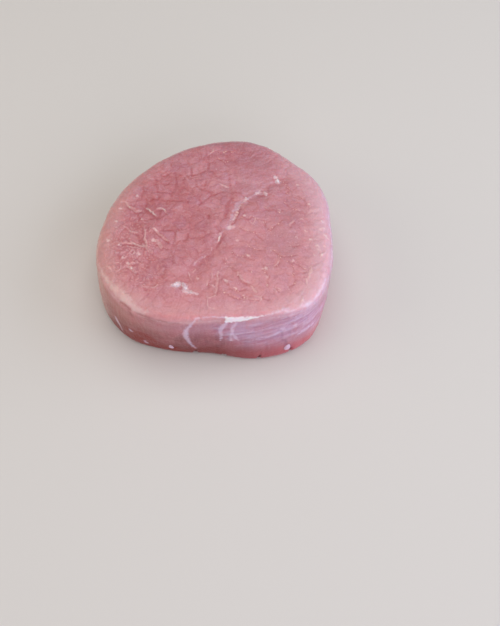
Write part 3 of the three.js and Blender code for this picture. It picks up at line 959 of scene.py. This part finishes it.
# Collagen, wet and pale: it gives thin milky lines that light shines through.
collagen, tree, place = started("wet_collagen")
cloudy = add(tree, "TexNoise", None, {"Vector": place, "Scale": 0.9, "Detail": 2.0})
milky = add(tree, "MapRange", EASED, {"Value": cloudy, **between(0.35, 0.6)})
ends = {0: milky, 6: linear("#D69E9E"), 7: linear("#ECD0CC")}
colour = add(tree, "Mix", COLOURED, ends)
body = add(tree, "BsdfPrincipled", None, {
    "Base Color": colour,
    "Roughness": 0.35,
    "IOR": 1.38,
    "Subsurface Weight": 0.4,
    "Subsurface Radius": (1.0, 0.5, 0.4),
    "Subsurface Scale": 1.0 * MM,
    "Coat Weight": 0.3,
    "Coat Roughness": 0.2,
})
add(tree, "OutputMaterial", None, {"Surface": body})
threads.data.materials.append(collagen)
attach(threads, "root")

# ------------------------------------------------------------------ Flecks of fat
# Small soft lumps of white fat: a torn one near the front of the cut face, a few along the seam, and two
# squeezed out at the foot of the wall. Each is bedded in the muscle that it grew in.

FAT_GRID = 0.14  # mm between the points of a lump's surface
CRUMBS = ((0.8, 0.45), (1.1, 0.35), (1.2, 0.3))  # how far from a torn lump, and how large, in its half widths
SQUEEZED_FAT = [
    [(304.1, 6.3, 1.3), (304.1, 5, 1.8)],
    [(249.2, 6.9, 0.9), (249.5, 5.6, 1.3)],
]


def lumps(laid, crumbs):
    """Lumps along laid rows with crumbs beside them, pressed flat against the surface."""
    made = []
    for *middle, half in laid[::2]:
        middle = Vector(middle) * MM
        outward = skin.find_nearest(middle)[1]
        turn = outward.to_track_quat("Z", "Y").to_euler()
        for aside, share in ((0.2, 0.8), *crumbs):
            size = half * share * chance.uniform(0.7, 1.1) * MM
            stray = Vector(chance.uniform(-1, 1, 3)).cross(outward).normalized() * aside * half * MM
            bpy.ops.mesh.primitive_ico_sphere_add(
                subdivisions=3, radius=size, location=middle + stray, rotation=turn, scale=(1, 1, 0.5)
            )
            made.append(bpy.context.object)
    return made


torn = [lump for route in TORN_FAT for lump in lumps(on_face(route), CRUMBS)]
torn = joined(torn, "torn_fat")
modify(torn, "REMESH", mode="VOXEL", voxel_size=FAT_GRID * MM)
clouds = bpy.data.textures.new("lumpy", "CLOUDS")
clouds.noise_scale = 0.9 * MM
modify(torn, "DISPLACE", texture=clouds, strength=0.4 * MM, mid_level=0.5)
squeezed = [lump for route in SQUEEZED_FAT for lump in lumps(on_wall(route), ())]
squeezed = joined(squeezed, "squeezed_fat")
modify(squeezed, "REMESH", mode="VOXEL", voxel_size=FAT_GRID * MM)
modify(squeezed, "SMOOTH", factor=0.5, iterations=6)
flecks = joined([torn, squeezed], "fat_flecks")
modify(flecks, "SMOOTH", factor=0.5, iterations=2)
bpy.ops.object.shade_smooth()

# Veal fat: firm, nearly white with a cool cast, and wet. It gives small bright lumps with soft edges.
tallow, tree, place = started("veal_fat")
cloudy = add(tree, "TexNoise", None, {"Vector": place, "Scale": 1.1, "Detail": 3.0})
milky = add(tree, "MapRange", EASED, {"Value": cloudy, **between(0.35, 0.6)})
ends = {0: milky, 6: linear("#D8A8B2"), 7: linear("#EEDCE2")}
colour = add(tree, "Mix", COLOURED, ends)
axes = add(tree, "SeparateXYZ", None, {0: place})
low_down = add(tree, "MapRange", None, {"Value": axes.outputs[2], **between(8, 20, 0.75, 0)})
colour = add(tree, "Mix", COLOURED, {0: low_down, 6: colour, 7: linear("#C4A2BC")})
body = add(tree, "BsdfPrincipled", None, {
    "Base Color": colour,
    "Roughness": 0.45,
    "IOR": 1.42,
    "Subsurface Weight": 0.4,
    "Subsurface Radius": (1.0, 0.7, 0.6),
    "Subsurface Scale": 1.2 * MM,
    "Coat Weight": 0.15,
    "Coat Roughness": 0.25,
})
add(tree, "OutputMaterial", None, {"Surface": body})
flecks.data.materials.append(tallow)
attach(flecks, "root")

# ------------------------------------------------------------------ Floor, light and camera
# A plain pale table top of matt paper, under a large soft ceiling light, with cool daylight from the right
# and the front and a warmer wall to the left. The camera looks down on the slice from the front.
bpy.ops.object.select_all(action="DESELECT")
bpy.ops.mesh.primitive_plane_add(size=4, location=(0, 0, 0))
table_top = bpy.context.object
table_top.name = "table_top"
paper = bpy.data.materials.new("matt_paper")
paper.use_nodes = True
plain = paper.node_tree.nodes["Principled BSDF"]
plain.inputs["Base Color"].default_value = linear("#D6D3CF")
plain.inputs["Roughness"].default_value = 0.9
table_top.data.materials.append(paper)
table_top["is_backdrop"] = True

room = bpy.data.worlds.new("room")
bpy.context.scene.world = room
room.use_nodes = True
room.node_tree.nodes["Background"].inputs["Color"].default_value = linear("#F2F0EE")
room.node_tree.nodes["Background"].inputs["Strength"].default_value = 0.33


def softbox(name, place, size, power, colour):
    """A square light of that size at a place in metres, turned towards the slice."""
    lamp = bpy.data.lights.new(name, "AREA")
    lamp.size = size
    lamp.energy = power
    lamp.color = linear(colour)[:3]
    holder = bpy.data.objects.new(name, lamp)
    holder.location = place
    holder.rotation_euler = (-Vector(place)).to_track_quat("-Z", "Y").to_euler()
    bpy.context.collection.objects.link(holder)


softbox("ceiling", (0.0, 0.15, 0.9), 0.9, 4.0, "#FFFAF4")
softbox("window", (0.85, -0.1, 0.28), 0.9, 6.0, "#E4ECFF")
softbox("front", (0.35, -0.85, 0.3), 0.7, 4.0, "#F4F0FF")
softbox("wall", (-0.8, -0.1, 0.3), 0.7, 1.8, "#FFF2E4")

LENS = 40.256  # mm, behind a picture that is 36 mm high
LOOKING_DOWN = 59.5  # degrees
eye = bpy.data.cameras.new("eye")
eye.sensor_width = 36
eye.lens = LENS
eye.clip_start = 0.01
viewer = bpy.data.objects.new("eye", eye)
viewer.location = (0.01435, -0.1698, 0.24645)
viewer.rotation_euler = (math.radians(90 - LOOKING_DOWN), 0, 0)
bpy.context.collection.objects.link(viewer)
bpy.context.scene.camera = viewer
bpy.context.scene.view_settings.view_transform = "Standard"

low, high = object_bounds()
